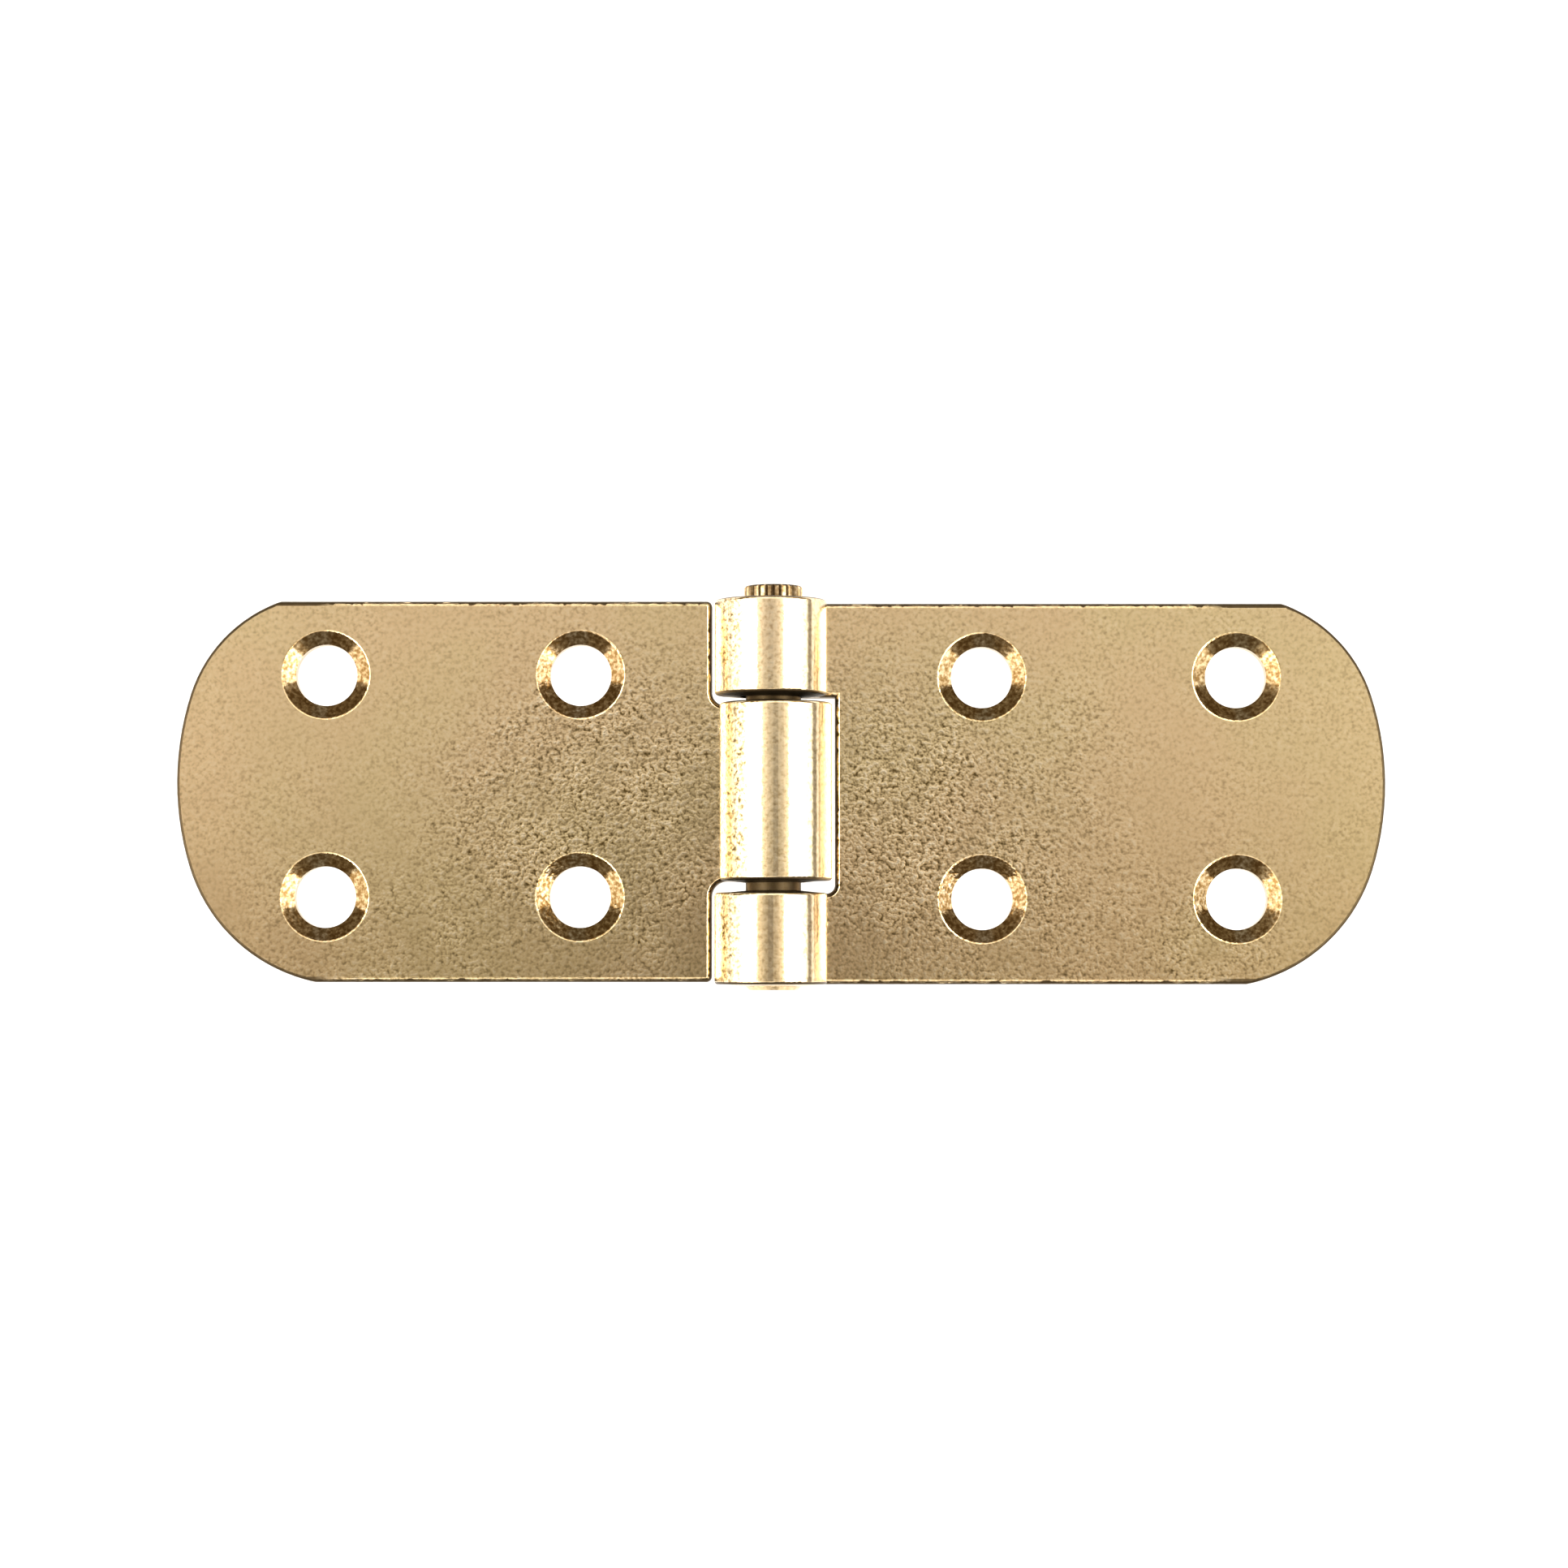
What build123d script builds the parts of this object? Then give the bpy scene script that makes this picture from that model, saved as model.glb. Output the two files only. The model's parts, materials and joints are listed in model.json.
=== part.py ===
from build123d import *
import math
import os

os.makedirs("parts", exist_ok=True)

# A steel gate hinge that lies flat on its back, in millimetres.
# The pin runs along Y, the post leaf reaches to +X, the gate leaf to -X, and the countersinks face +Z.
# The origin is on the leaves' back plane, straight under the pin, at the middle of the post leaf's width.

# The strip that both leaves are cut and rolled from: its mill edges are rounder than the cut ends
sheet = 2.3
leaf_width = 34.7
mill_roll = 0.5
end_roll = 0.3
notch_roll = 0.5
back_roll = 0.3

# The pin
pin_diameter = 5.0
pin_top_stand = 1.4
pin_bottom_stand = 0.5
pin_bottom_bevel = 0.3
knurl_diameter = 5.26
knurl_length = 6.5
knurl_teeth = 24
knurl_depth = 0.22
pin_dome = 0.15
pin_corner = 0.15

# The rolled eyes: the roll starts a little past the pin, so each eye is fuller on its free side
eye_clearance = 0.05
eye_lead = 0.45
eye_crown = 0.2
eye_land = 0.5
seam = 0.12

# How the knuckles share the width: two on the post leaf, one between them on the gate leaf
upper_knuckle = 8.6
lower_knuckle = 8.25
upper_gap = 0.7
lower_gap = 1.1
gate_lift = 0.2

# The leaves' cut-outs beside the other leaf's eyes
swing_clearance = 0.3
post_upper_corner = 1.4
post_lower_corner = 0.8
gate_upper_corner = 1.2
gate_lower_corner = 1.4

# The leaves' ends: a shallow nose between two tighter corners, set a little above the middle
gate_reach = 54.3
post_reach = 55.7
nose_radius = 26.5
nose_lift = 1.0
upper_end_radius = 13.1
upper_end_slope = 19.3
lower_end_radius = 15.3
lower_end_slope = 11.6

# The screw holes
screw_hole = 5.6
countersink = 8.05
countersink_angle = 110
countersink_rim = 0.25
hole_pitch_along = 23.2
hole_pitch_across = 20.25
hole_to_nose = 13.5
hole_lift = 0.5

# Sizes that follow
bore_radius = pin_diameter / 2 + eye_clearance
eye_radius = bore_radius + sheet
pin_height = eye_radius
tip_angle = math.degrees(math.asin((bore_radius - seam) / eye_radius))
tip_reach = eye_radius * math.cos(math.radians(tip_angle))
notch_reach = eye_radius + eye_lead + swing_clearance
post_top = leaf_width / 2
post_bottom = -leaf_width / 2
upper_eye_bottom = post_top - upper_knuckle
lower_eye_top = post_bottom + lower_knuckle
gate_eye_top = upper_eye_bottom - upper_gap
gate_eye_bottom = lower_eye_top + lower_gap
pin_top = post_top + pin_top_stand
pin_bottom = post_bottom - pin_bottom_stand
knurl_radius = knurl_diameter / 2
knurl_groove = knurl_depth * math.sqrt(2)
pin_axis = Axis((0, 0, pin_height), (0, 1, 0))
tolerance = 0.001


def corner_arc(nose, radius, slope, edge):
    """Where a leaf's end corner starts on the nose and where the strip's straight edge cuts it.

    The corner's arc touches the nose's arc from inside and meets the edge at the given slope.
    """
    side = math.copysign(1, edge)
    angle = math.radians(slope)
    centre_y = edge - side * radius * math.cos(angle)
    centre_x = nose.X + math.sqrt((nose_radius - radius) ** 2 - (centre_y - nose.Y) ** 2)
    centre = Vector(centre_x, centre_y)
    join = nose + (centre - nose).normalized() * nose_radius
    end = Vector(centre_x + radius * math.sin(angle), edge)
    return join, end


def strip_end(reach):
    """The flat blank from the curl's tip to the end of the leaf, around its own middle line.

    Three tangent arcs make the end, and the strip's straight edges cut the outer two short.
    """
    half = leaf_width / 2
    nose = Vector(reach - nose_radius, nose_lift)
    upper_join, upper_end = corner_arc(nose, upper_end_radius, upper_end_slope, half)
    lower_join, lower_end = corner_arc(nose, lower_end_radius, lower_end_slope, -half)
    with BuildSketch() as blank:
        with BuildLine():
            Polyline(lower_end, (tip_reach, -half), (tip_reach, half), upper_end)
            RadiusArc(upper_end, upper_join, upper_end_radius)
            RadiusArc(upper_join, lower_join, nose_radius)
            RadiusArc(lower_join, lower_end, lower_end_radius)
        make_face()
    return blank.sketch


def notch(low, high, low_corner, high_corner):
    """The room cut from a blank beside the other leaf's eye, with its two inner corners rounded."""
    with BuildSketch() as room:
        with BuildLine():
            Polyline(
                (-notch_reach, low), (notch_reach, low), (notch_reach, high), (-notch_reach, high), close=True
            )
        make_face()
        inner = room.vertices().group_by(Axis.X)[-1].sort_by(Axis.Y)
        if low_corner:
            fillet(inner[0], low_corner)
        if high_corner:
            fillet(inner[-1], high_corner)
    return room.sketch


def curl_section():
    """The strip seen on edge, from its flat, round the pin by the free side, to the tip on its own face."""
    tip = Vector(math.cos(math.radians(tip_angle)), -math.sin(math.radians(tip_angle)))
    centre = Vector(0, pin_height)
    with BuildSketch() as section:
        with BuildLine():
            Line((tip_reach, 0), (-eye_lead, 0))
            ThreePointArc((-eye_lead, 0), (-eye_lead - eye_radius, pin_height), (-eye_lead, 2 * eye_radius))
            Line((-eye_lead, 2 * eye_radius), (0, 2 * eye_radius))
            CenterArc(centre, eye_radius, -tip_angle, 90 + tip_angle)
            Line(centre + tip * eye_radius, centre + tip * bore_radius)
            CenterArc(centre, bore_radius, -tip_angle, 90 + tip_angle)
            Line((0, pin_height + bore_radius), (-eye_lead, pin_height + bore_radius))
            ThreePointArc(
                (-eye_lead, pin_height + bore_radius), (-eye_lead - bore_radius, pin_height), (-eye_lead, sheet)
            )
            Line((-eye_lead, sheet), (tip_reach, sheet))
            Line((tip_reach, sheet), (tip_reach, 0))
        make_face()
    return section.sketch


def rolled_eye(low, high):
    """One knuckle with its tongue: the curl drawn from low to high along the pin.

    Rolling squeezes the inside of the curl, so its ends stand proud by the crown at the bore
    and fall to the strip's own edge at the outside.
    """
    with BuildPart() as eye:
        with BuildSketch(Plane.XZ.offset(-high - eye_crown)):
            add(curl_section())
        extrude(amount=high - low + 2 * eye_crown)
        with BuildSketch(Plane.XY.offset(pin_height)):
            with BuildLine():
                Polyline(
                    (0, low - eye_crown),
                    (bore_radius, low - eye_crown),
                    (eye_radius - eye_land, low),
                    (2 * notch_reach, low),
                    (2 * notch_reach, high),
                    (eye_radius - eye_land, high),
                    (bore_radius, high + eye_crown),
                    (0, high + eye_crown),
                    close=True,
                )
            make_face()
        revolve(axis=pin_axis, mode=Mode.INTERSECT)
    return eye.part


def top_edges(part, low, high):
    """The edges of a flat blank's upper face whose middles lie between two distances from the pin."""
    edges = part.faces().sort_by(Axis.Z)[-1].edges()
    return edges.filter_by(lambda e: low + tolerance < e.center().X < high + tolerance)


def roll_upper_edges(part, reach):
    """Rounds a blank's upper edges: its cut-outs', then the strip's own mill edges, then the cut end's."""
    fillet(top_edges(part, tip_reach, notch_reach), notch_roll)
    fillet(top_edges(part, notch_reach, reach).filter_by(Axis.X), mill_roll)
    fillet(top_edges(part, reach - nose_radius, reach).filter_by(GeomType.CIRCLE), end_roll)


def is_skin(face):
    """Whether a face is the strip's back, which rolling carries on over the outside of each eye."""
    if face.geom_type == GeomType.CYLINDER:
        return abs(face.radius - eye_radius) < tolerance
    height = face.center().Z
    return face.geom_type == GeomType.PLANE and (height < tolerance or height > 2 * eye_radius - tolerance)


def roll_back_edges(part):
    """Rounds the strip's back edges, along the leaf and round both ends of each eye.

    The lines along the pin inside the skin are no edges of the strip, and the curl's tip stays sharp.
    """
    edges = part.faces().filter_by(is_skin).edges()
    across = edges.filter_by(Axis.Y, reverse=True)
    inner = edges.filter_by(Axis.Y).filter_by(lambda e: e.center().X > tip_reach + tolerance)
    fillet(across + inner, back_roll)


def screw_holes(part, reach, lift):
    """Cuts a leaf's four countersunk holes from its upper face, and eases their rims."""
    with Locations((reach - hole_to_nose - hole_pitch_along / 2, lift + hole_lift, sheet)):
        with GridLocations(hole_pitch_along, hole_pitch_across, 2, 2):
            CounterSinkHole(screw_hole / 2, countersink / 2, sheet, countersink_angle)
    rounds = part.edges().filter_by(GeomType.CIRCLE)
    fillet(rounds.filter_by(lambda e: abs(e.radius - countersink / 2) < tolerance), countersink_rim)


with BuildPart() as post_leaf:
    with BuildSketch():
        add(strip_end(post_reach))
        add(notch(lower_eye_top, upper_eye_bottom, post_lower_corner, post_upper_corner), mode=Mode.SUBTRACT)
    extrude(amount=sheet)
    roll_upper_edges(post_leaf, post_reach)
    add(rolled_eye(upper_eye_bottom, post_top))
    add(rolled_eye(post_bottom, lower_eye_top))
    roll_back_edges(post_leaf)
    screw_holes(post_leaf, post_reach, 0)
post_leaf.part.label = "post_leaf"

with BuildPart() as gate_leaf:
    with BuildSketch():
        with Locations((0, gate_lift)):
            add(strip_end(gate_reach))
        add(notch(gate_eye_top, leaf_width, gate_upper_corner, 0), mode=Mode.SUBTRACT)
        add(notch(-leaf_width, gate_eye_bottom, 0, gate_lower_corner), mode=Mode.SUBTRACT)
    extrude(amount=sheet)
    roll_upper_edges(gate_leaf, gate_reach)
    add(rolled_eye(gate_eye_bottom, gate_eye_top))
    roll_back_edges(gate_leaf)
    screw_holes(gate_leaf, gate_reach, gate_lift)
    mirror(about=Plane.YZ, mode=Mode.REPLACE)
gate_leaf.part.label = "gate_leaf"

with BuildPart() as hinge_pin:
    with BuildSketch(Plane((0, pin_top, pin_height), x_dir=(1, 0, 0), z_dir=(0, -1, 0))):
        Circle(knurl_radius)
        with PolarLocations(knurl_radius, knurl_teeth):
            Rectangle(knurl_groove, knurl_groove, rotation=45, mode=Mode.SUBTRACT)
    extrude(amount=knurl_length)
    with BuildSketch(Plane.XY.offset(pin_height)):
        with BuildLine():
            Polyline(
                (0, pin_top),
                (0, pin_top - knurl_length),
                (knurl_diameter, pin_top - knurl_length),
                (knurl_diameter, pin_top - pin_dome - pin_corner),
                (knurl_radius, pin_top - pin_dome - pin_corner),
                (knurl_radius - pin_corner, pin_top - pin_dome),
            )
            TangentArc((0, pin_top), (knurl_radius - pin_corner, pin_top - pin_dome), tangent=(1, 0))
        make_face()
    revolve(axis=pin_axis, mode=Mode.INTERSECT)
    with BuildSketch(Plane.XY.offset(pin_height)):
        with BuildLine():
            Polyline(
                (0, pin_top - knurl_length),
                (0, pin_bottom),
                (pin_diameter / 2 - pin_bottom_bevel, pin_bottom),
                (pin_diameter / 2, pin_bottom + pin_bottom_bevel),
                (pin_diameter / 2, pin_top - knurl_length),
                close=True,
            )
        make_face()
    revolve(axis=pin_axis)
hinge_pin.part.label = "hinge_pin"

export_step(post_leaf.part, "parts/post_leaf.step")
export_step(gate_leaf.part, "parts/gate_leaf.step")
export_step(hinge_pin.part, "parts/hinge_pin.step")
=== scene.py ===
"""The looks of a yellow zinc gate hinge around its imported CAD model, in metres, in that model's own frame."""

import json
import math

import bpy
from mathutils import Matrix, Vector

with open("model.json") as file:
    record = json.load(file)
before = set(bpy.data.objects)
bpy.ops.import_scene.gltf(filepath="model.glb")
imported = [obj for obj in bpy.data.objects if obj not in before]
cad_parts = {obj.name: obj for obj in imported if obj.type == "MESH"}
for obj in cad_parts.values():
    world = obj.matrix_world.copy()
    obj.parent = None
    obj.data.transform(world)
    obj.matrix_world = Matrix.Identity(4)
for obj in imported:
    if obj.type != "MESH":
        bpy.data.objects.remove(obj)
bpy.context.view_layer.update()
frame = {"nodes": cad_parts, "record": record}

MM = 0.001
DEGREES = 180 / math.pi

# The photograph is square, and this is how it stands over the leaves
FRAME_PIXELS = 1932
PIXELS_PER_MM = 13.545
PIN_PIXEL_X = 953.0
ORIGIN_PIXEL_Y = 977.5
EYE_PIXEL_Y = 1192.0
EYE_HEIGHT = 335.3 * MM
SENSOR = 36.0

# The leaves' thickness, and the height of the pin's axis over their backs
SHEET = 2.3 * MM
PIN_HEIGHT = 4.85 * MM

# The eight screw holes: each leaf's pattern has its middle on that leaf's mount
mounts = {mount["name"]: mount for mount in frame["record"]["mounts"]}
POST_X, POST_Y, _ = mounts["post_screws"]["pos_m"]
GATE_X, GATE_Y, _ = mounts["gate_screws"]["pos_m"]
HOLE_SHIFT = (POST_X + GATE_X) / 2
HOLE_MIDDLE = (POST_X - GATE_X) / 2
HOLE_ALONG = mounts["post_screws"]["dims"]["spacing_x_mm"] / 2 * MM
HOLE_ACROSS = mounts["post_screws"]["dims"]["spacing_y_mm"] / 2 * MM

# The plating's bump: the height that counts as 1, and how high the pebbles and the dents stand in it
BUMP_DISTANCE = 0.006 * MM
PEBBLE_HEIGHT = 3.0
DENT_HEIGHT = 14.0

# The plating's colours: pale on the eyes and, as painted highlight, on the pebbles' tops; dark between the
# pebbles, as painted shade; brown, on the pin's head and as painted dark reflection in the countersinks; and
# nearly black, for painted shade, painted dark reflection and darker spots
PALE = (0.97, 0.84, 0.62, 1.0)
DARK = (0.16, 0.105, 0.035, 1.0)
BROWN = (0.22, 0.125, 0.04, 1.0)
SHADE_AND_DARK_SPOTS = (0.045, 0.028, 0.011, 1.0)

# The floor reaches this far from the hinge to each side
FLOOR_REACH = 4.0
FLOOR_HEIGHT = -62 * MM
FLOOR_PAINT = (0.64, 0.64, 0.64, 1.0)

# The studio's lights, by how bright they shine
BOX_LIGHT = 6.5
RIGHT_BOX_FADE = 4.4
LOW_BOX_LIGHT = 2.1
CEILING_LIGHT = 0.98
CEILING_DIP = 0.51
TOP_END_LIGHT = 1.1
BOTTOM_END_LIGHT = 0.7
ROOM_LIGHT = 0.30
CORNER_DIP = 0.05

# How much of the light the things over the hinge take away
HOOD_SHADE = 0.44
COLUMN_SHADE = 0.88

# The colours of the boxes, the ceiling, the room's corners and the dim wall under the hood
WHITE = (1.0, 1.0, 1.0, 1.0)
CREAM = (1.0, 0.93, 0.83, 1.0)
AMBER = (1.0, 0.78, 0.48, 1.0)
SAND = (0.98, 0.80, 0.50, 1.0)


class Socket:
    """A shader socket with arithmetic: each expression adds its own Math nodes."""

    def __init__(self, shader, link):
        self.shader = shader
        self.link = link

    def _math(self, operation, *values):
        return self.shader.node("ShaderNodeMath", {"operation": operation}, dict(enumerate(values)))

    def __add__(self, other):
        return self._math("ADD", self, other)

    def __radd__(self, other):
        return self._math("ADD", other, self)

    def __sub__(self, other):
        return self._math("SUBTRACT", self, other)

    def __rsub__(self, other):
        return self._math("SUBTRACT", other, self)

    def __mul__(self, other):
        return self._math("MULTIPLY", self, other)

    def __rmul__(self, other):
        return self._math("MULTIPLY", other, self)

    def __truediv__(self, other):
        return self._math("DIVIDE", self, other)

    def __rtruediv__(self, other):
        return self._math("DIVIDE", other, self)

    def __pow__(self, other):
        return self._math("POWER", self, other)

    def __rpow__(self, other):
        return self._math("POWER", other, self)

    def clamp(self):
        """The same value, held between 0 and 1."""
        return self._math("MINIMUM", self._math("MAXIMUM", self, 0.0), 1.0)

    def absolute(self):
        return self._math("ABSOLUTE", self)

    def from_sine(self):
        """The angle in radians whose sine this is."""
        return self._math("ARCSINE", self)

    def slant(self, up):
        """The angle in radians from upright of a direction with this run and that rise."""
        return self._math("ARCTAN2", self, up)

    def smooth(self, low, high):
        """0 at low, 1 at high, and an even curve between them."""
        settings = {"interpolation_type": "SMOOTHSTEP"}
        return self.shader.node("ShaderNodeMapRange", settings, {0: self, 1: low, 2: high, 3: 0.0, 4: 1.0})

    def band(self, low, high, soft):
        """1 between low and high, falling to 0 over a soft width outside them."""
        return self.smooth(low - soft, low) * (1.0 - self.smooth(high, high + soft))


class Shader:
    """A material's or the world's node tree."""

    def __init__(self, tree):
        self.tree = tree
        tree.nodes.clear()

    def add(self, kind, settings, sockets):
        """Adds one node: its settings first, then the values or links of its sockets, by place or name."""
        made = self.tree.nodes.new(kind)
        for name, value in settings.items():
            setattr(made, name, value)
        for place, value in sockets.items():
            if isinstance(value, Socket):
                self.tree.links.new(value.link, made.inputs[place])
            else:
                made.inputs[place].default_value = value
        return made

    def node(self, kind, settings, sockets, output=0):
        """Adds one node and gives one of its outputs."""
        return Socket(self, self.add(kind, settings, sockets).outputs[output])

    def mix(self, share, first, second):
        """A colour that goes from the first to the second as the share goes from 0 to 1."""
        return self.node("ShaderNodeMix", {"data_type": "RGBA"}, {0: share, 6: first, 7: second}, output=2)

    def coordinate(self, name):
        return self.node("ShaderNodeTexCoord", {}, {}, output=name)

    def axes(self, vector):
        parts = self.add("ShaderNodeSeparateXYZ", {}, {"Vector": vector})
        return [Socket(self, part) for part in parts.outputs]

    def noise(self, vector, scale, detail, roughness):
        sockets = {"Vector": vector, "Scale": scale, "Detail": detail, "Roughness": roughness}
        return self.node("ShaderNodeTexNoise", {}, sockets)


def new_material(name):
    material = bpy.data.materials.new(name)
    material.use_nodes = True
    return material, Shader(material.node_tree)


def yellow_zinc(name, warm, cool, gloss, marks):
    """Yellow zinc over steel, with a soft pebbled skin and drifting tints.

    The marks say, all over the surface, how deep the grain and the dents are, how pale and how brown the
    plating is, and where it goes nearly black: painted shade, painted dark reflection and darker spots.
    """
    material, shader = new_material(name)
    place = shader.coordinate("Object")
    grain, dents, bare, brown_and_painted_reflection, shade_and_dark_spots = marks(shader)
    pebbles = shader.noise(place, scale=2700.0, detail=1.2, roughness=0.6)
    patches = shader.noise(place, scale=210.0, detail=2.0, roughness=0.6)
    ripples = shader.noise(place, scale=1300.0, detail=1.0, roughness=0.5)
    tint = shader.noise(place, scale=45.0, detail=2.0, roughness=0.55)

    # The grain comes and goes in patches
    grain = grain * (0.75 + 0.5 * patches.smooth(0.35, 0.65))
    height = pebbles * grain * grain * PEBBLE_HEIGHT + ripples * dents * DENT_HEIGHT
    bump = shader.node("ShaderNodeBump", {}, {"Strength": 1.0, "Distance": BUMP_DISTANCE, "Height": height})

    # Painted highlight and painted shade, over the grain's own tone: the pebbles' tops are pale and the pits
    # between them are dark
    colour = shader.mix(tint.smooth(0.35, 0.65), cool, warm)
    colour = shader.mix((bare + (pebbles - 0.5) * 3.2 * grain).clamp(), colour, PALE)
    colour = shader.mix(((0.5 - pebbles) * 3.6 * grain).clamp(), colour, DARK)
    # Painted dark reflection: the countersinks are browned; the pin's driven head is browned too
    colour = shader.mix((brown_and_painted_reflection * (0.74 + 1.8 * (0.5 - pebbles))).clamp(), colour, BROWN)
    # Painted shade and painted dark reflection, and the pin's darker spots, go nearly black and rougher
    colour = shader.mix(shade_and_dark_spots, colour, SHADE_AND_DARK_SPOTS)
    roughness = gloss + 0.05 * (patches - 0.5) + 0.30 * shade_and_dark_spots

    sockets = {"Base Color": colour, "Metallic": 1.0, "Roughness": roughness, "Normal": bump}
    surface = shader.node("ShaderNodeBsdfPrincipled", {}, sockets)
    shader.add("ShaderNodeOutputMaterial", {}, {"Surface": surface})
    return material


def leaf_marks(shader):
    """Deep grain beside the barrel, dented rolled edges, pale eyes, painted dark reflection in the
    countersinks, and painted shade and painted dark reflection on the outline, the cut walls and the eyes'
    ends.
    """
    place = shader.coordinate("Object")
    x, y, z = shader.axes(place)
    across, along, up = shader.axes(shader.coordinate("Normal"))
    out = x.absolute()

    # Flat is the strip outside the eye, and low is all that lies no higher than its face
    flat = z.smooth(SHEET + 0.70 * MM, SHEET + 0.10 * MM)
    low = z.smooth(SHEET + 0.10 * MM, SHEET + 0.01 * MM)
    eye = 1.0 - flat

    # The holes repeat about the middle of their pattern, and the two leaves' middles differ a little
    from_pair = ((x - HOLE_SHIFT).absolute() - HOLE_MIDDLE).absolute() - HOLE_ALONG
    from_row = (y - POST_Y - x.smooth(MM, -MM) * (GATE_Y - POST_Y)).absolute() - HOLE_ACROSS
    from_hole = (from_pair ** 2 + from_row ** 2) ** 0.5
    outside = from_hole.smooth(4.1 * MM, 4.3 * MM)
    # The countersinks' cone, which is dented and gets painted dark reflection in brown
    cone = (1.0 - outside) * up.smooth(0.97, 0.90) * up.smooth(0.0, 0.3)

    # The grain is deepest in an oval beside the barrel, towards the lower edge and on the eyes' left side
    beside = ((out - 15 * MM) / (21 * MM)) ** 2 + ((y - 0.5 * MM) / (16 * MM)) ** 2
    lower = out.band(10 * MM, 40 * MM, 10 * MM) * y.smooth(-2 * MM, -12 * MM)
    eye_side = across.smooth(-0.42, -0.62) * eye
    grain = 0.36 + (0.78 * beside.smooth(1.0, 0.0) + 0.44 * lower) * flat + 0.75 * eye_side

    # The outline is rolled over, where the punch cut the strip
    front = up.smooth(-0.1, 0.1) * low * outside
    rolled = up.smooth(0.998, 0.97) * front
    dents = 0.8 * rolled + 0.25 * cone + 0.16 * eye

    # Painted shade and painted dark reflection darken the outline, wider at the rounded nose, and the lower
    # part of the cut walls and the eyes' ends, beside the gaps between the parts
    uneven = shader.noise(place, scale=900.0, detail=2.0, roughness=0.6) - 0.5
    nose = out.smooth(38 * MM, 42 * MM) * up.smooth(0.9998, 0.992) * front
    edge = (up + uneven).smooth(0.88, 0.78) * rolled + nose
    wall = up.absolute().smooth(0.5, 0.15) * z.smooth(1.9 * MM, 1.7 * MM) * 0.35
    rim = (along + 0.3 * uneven).smooth(-0.12, -0.35) + along.smooth(0.45, 0.80)
    outer_face = along.absolute().smooth(0.93, 0.98) * y.absolute().smooth(11 * MM, 13 * MM)
    end = rim * (1.0 - 0.7 * outer_face) * eye
    shade_and_dark_spots = (edge + wall + end).clamp() * 0.96
    return grain, dents, 0.32 * eye, cone, shade_and_dark_spots


def pin_marks(shader):
    """Darker in the knurl's grooves, on the driven head and its rim, and painted shade in rings where the gaps
    leave the pin open.
    """
    x, y, z = shader.axes(shader.coordinate("Object"))
    along = shader.axes(shader.coordinate("Normal"))[1]
    radius = (x * x + (z - PIN_HEIGHT) * (z - PIN_HEIGHT)) ** 0.5
    head = y.smooth(12.2 * MM, 12.4 * MM)
    groove = radius.smooth(2.62 * MM, 2.48 * MM) * head
    # Painted shade on the pin where it shows in the gaps between the knuckles
    ring = y.band(7.4 * MM, 9.4 * MM, 0.3 * MM) + y.band(-9.4 * MM, -7.0 * MM, 0.3 * MM)
    rim = along.smooth(0.1, 0.4) * head
    shade_and_dark_spots = (groove * 0.5 + head * 0.3 + rim + ring).clamp() * 0.96
    return 0.4, 0.2 * head, 0.0, 0.8 * head, shade_and_dark_spots


def make_finishes():
    """Plates the leaves and the pin: the CAD nodes keep their shapes and get new materials."""
    leaf_plating = yellow_zinc(
        "leaf_plating",
        warm=(0.83, 0.62, 0.365, 1.0),
        cool=(0.80, 0.635, 0.355, 1.0),
        gloss=0.15,
        marks=leaf_marks,
    )
    pin_plating = yellow_zinc(
        "pin_plating",
        warm=(0.70, 0.52, 0.30, 1.0),
        cool=(0.66, 0.51, 0.28, 1.0),
        gloss=0.16,
        marks=pin_marks,
    )
    for name, node in frame["nodes"].items():
        node.data.materials.clear()
        node.data.materials.append(pin_plating if name == "hinge_pin" else leaf_plating)


def make_camera():
    """A camera over the pin's lower end that looks a little up the pin, as the photograph's does."""
    middle = FRAME_PIXELS / 2
    across = (middle - PIN_PIXEL_X) / PIXELS_PER_MM * MM
    eye = Vector((across, (ORIGIN_PIXEL_Y - EYE_PIXEL_Y) / PIXELS_PER_MM * MM, EYE_HEIGHT))
    target = Vector((across, (ORIGIN_PIXEL_Y - middle) / PIXELS_PER_MM * MM, SHEET))
    back = (eye - target).normalized()
    right = Vector((1, 0, 0))
    turn = Matrix((right, back.cross(right), back)).transposed()
    camera = bpy.data.objects.new("camera", bpy.data.cameras.new("camera"))
    bpy.context.scene.collection.objects.link(camera)
    camera.matrix_world = Matrix.Translation(eye) @ turn.to_4x4()
    camera.data.sensor_width = SENSOR
    camera.data.lens = SENSOR * (target - eye).length / (FRAME_PIXELS / PIXELS_PER_MM * MM)
    camera.data.clip_start = 0.01
    camera.data.clip_end = 10.0
    bpy.context.scene.camera = camera


def make_floor():
    """A plain pale floor, low enough for the gate leaf to hang free at its lowest."""
    mesh = bpy.data.meshes.new("floor")
    outline = [(-1, -1), (1, -1), (1, 1), (-1, 1)]
    corners = [(FLOOR_REACH * x, FLOOR_REACH * y, FLOOR_HEIGHT) for x, y in outline]
    mesh.from_pydata(corners, [], [(0, 1, 2, 3)])
    floor = bpy.data.objects.new("floor", mesh)
    bpy.context.scene.collection.objects.link(floor)
    material, shader = new_material("floor")
    sockets = {"Base Color": FLOOR_PAINT, "Roughness": 0.95}
    surface = shader.node("ShaderNodeBsdfPrincipled", {}, sockets)
    shader.add("ShaderNodeOutputMaterial", {}, {"Surface": surface})
    mesh.materials.append(material)


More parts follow.
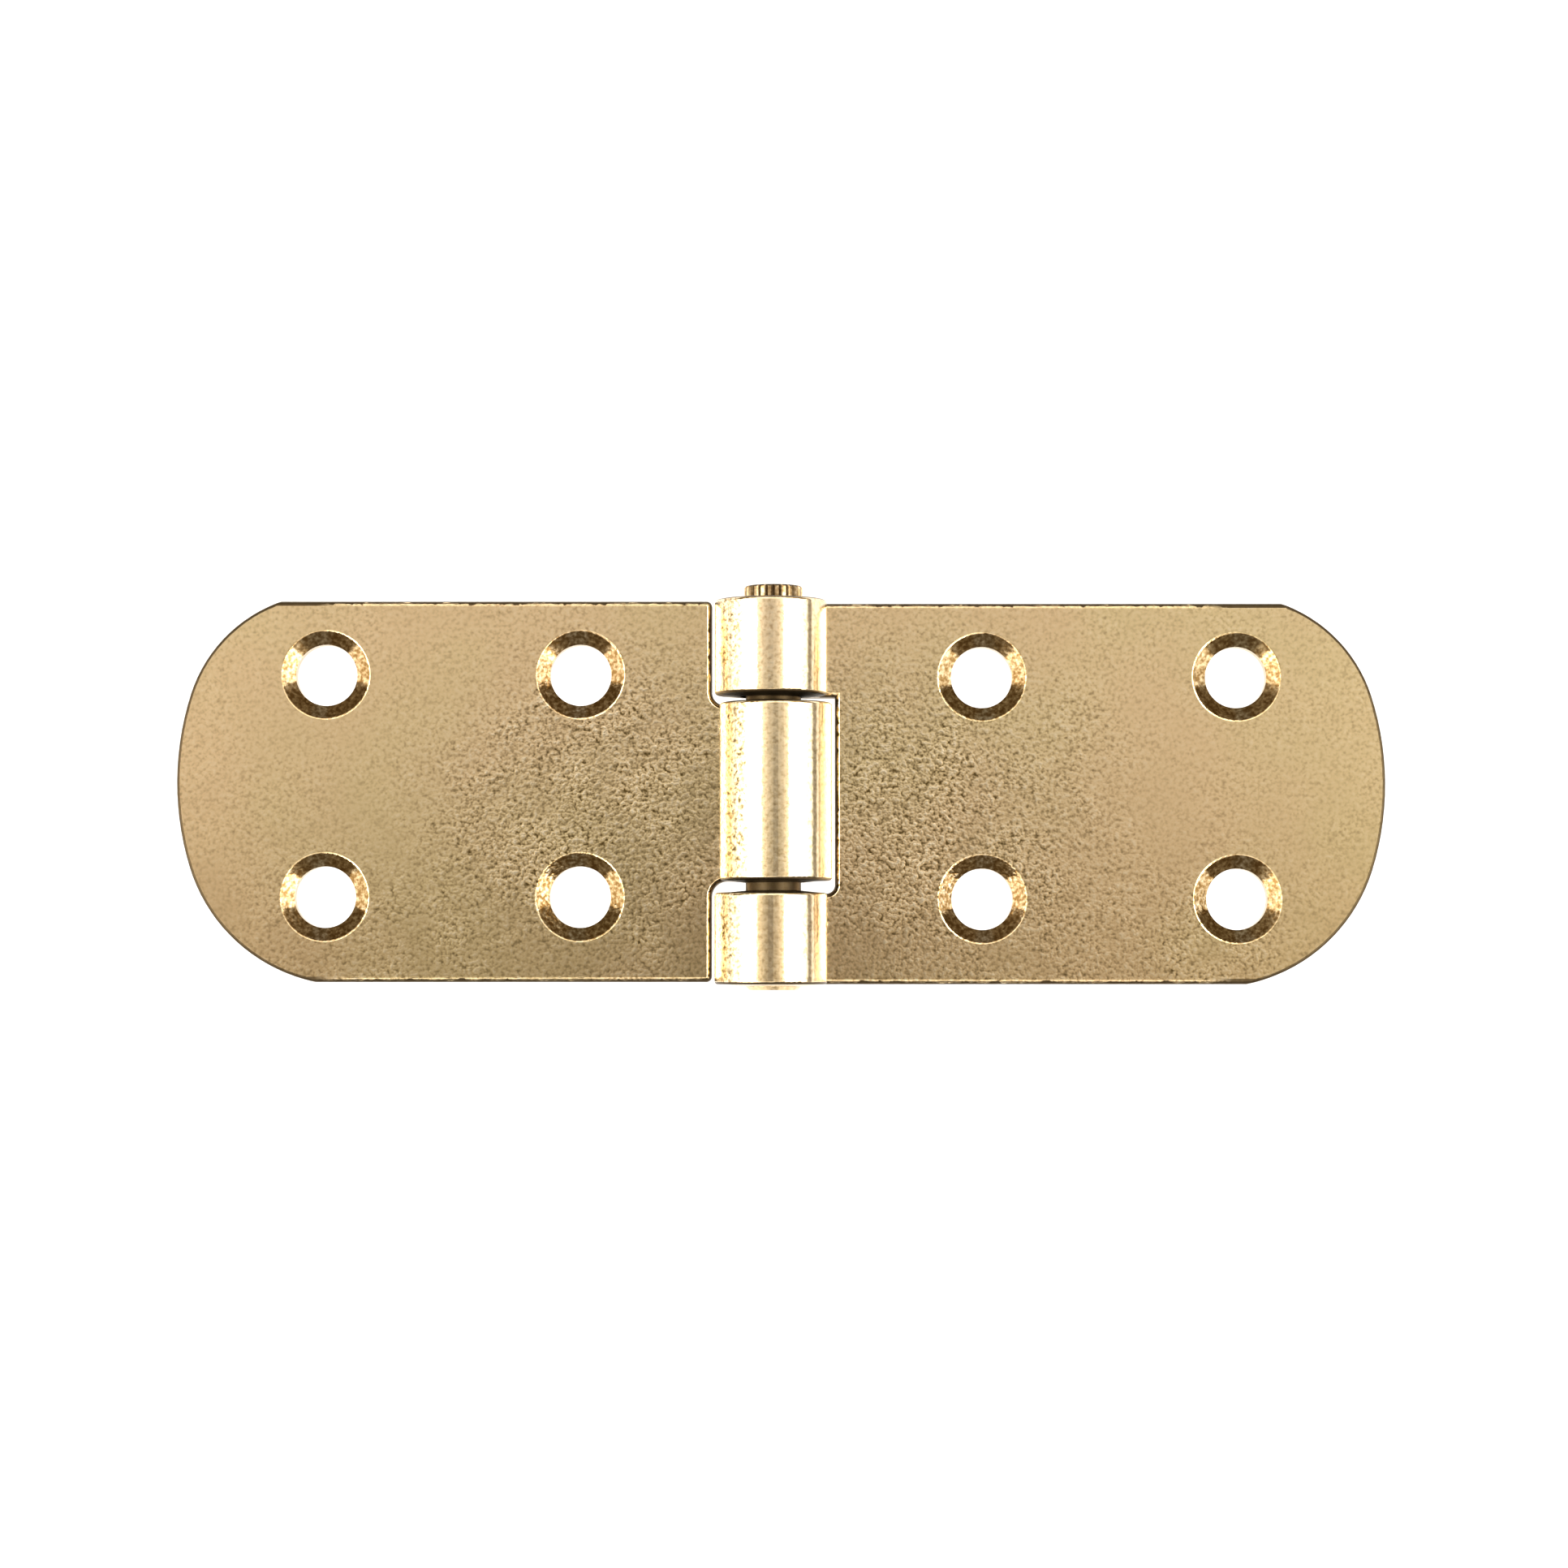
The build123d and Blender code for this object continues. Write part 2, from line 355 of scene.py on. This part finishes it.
def make_world():
    """Two long soft boxes beside the pin, and the camera's dark hood and column in a warm ceiling.

    Every place is in degrees from overhead: side towards the post leaf, and end towards the pin's head.
    """
    world = bpy.data.worlds.new("studio")
    world.use_nodes = True
    bpy.context.scene.world = world
    shader = Shader(world.node_tree)
    x, y, z = shader.axes(shader.coordinate("Object"))
    side = x.slant(z) * DEGREES
    end = y.from_sine() * DEGREES
    middle = side.absolute().smooth(36, 26)

    # The boxes end just past what the hinge mirrors in the photograph's view, and the right one fades
    reach = end.band(-32, 15, 3.0)
    right_box = side.band(25, 77, 2.0) * (BOX_LIGHT - RIGHT_BOX_FADE * side.smooth(50, 66)) * reach
    left_box = side.band(-56, -27, 2.0) * BOX_LIGHT * reach
    low_box = side.band(-87, -59, 2.0) * LOW_BOX_LIGHT

    # The ceiling is dimmer in the middle, and brighter towards both ends of the pin
    dip = CEILING_DIP * side.absolute().smooth(14.5, 9.5)
    ceiling = side.band(-60, 62, 5.0) * (CEILING_LIGHT - dip)
    ends = (end.band(16, 50, 4.0) * TOP_END_LIGHT + end.band(-38, -16, 4.0) * BOTTOM_END_LIGHT) * middle

    # The camera's hood is an oval overhead, with a dark column in it and a dim wall under it
    hood_across = (x / z * DEGREES + 1.9) / 8.5
    hood_along = (y / z * DEGREES + 1.6) / 3.4
    hood = (hood_across ** 2 + hood_along ** 2) ** 0.5
    column = (side + 0.4).absolute().smooth(1.9, 0.9) * end.band(-4, 3, 2.0)
    below = end.band(-8, 0, 2.4) * middle
    shade = HOOD_SHADE * hood.smooth(1.9, 0.35)
    shade = shade + (COLUMN_SHADE - shade) * column
    shade = shade + (1.0 - shade) * (0.08 + 0.14 * side.absolute().smooth(2.5, 5)) * below

    # Only the room's own light reaches its corners, which oblique views see in the flat leaves
    corners = (1.0 - middle) * (1.0 - end.band(-32, 15, 2.0)) * z.smooth(0.50, 0.45)
    open_end = end.band(-44, 54, 5.0) * (1.0 - corners)
    room = ROOM_LIGHT - CORNER_DIP * corners
    light = (room + (ceiling + low_box + left_box + right_box + ends) * open_end) * (1.0 - shade)

    colour = shader.mix(((left_box + right_box) * 0.3).clamp(), CREAM, WHITE)
    colour = shader.mix(corners, colour, AMBER)
    colour = shader.mix(0.6 * below, colour, SAND)
    background = shader.node("ShaderNodeBackground", {}, {"Color": colour, "Strength": light})
    shader.add("ShaderNodeOutputWorld", {}, {"Surface": background})


make_finishes()
make_camera()
make_floor()
make_world()
bpy.context.scene.view_settings.view_transform = "Standard"
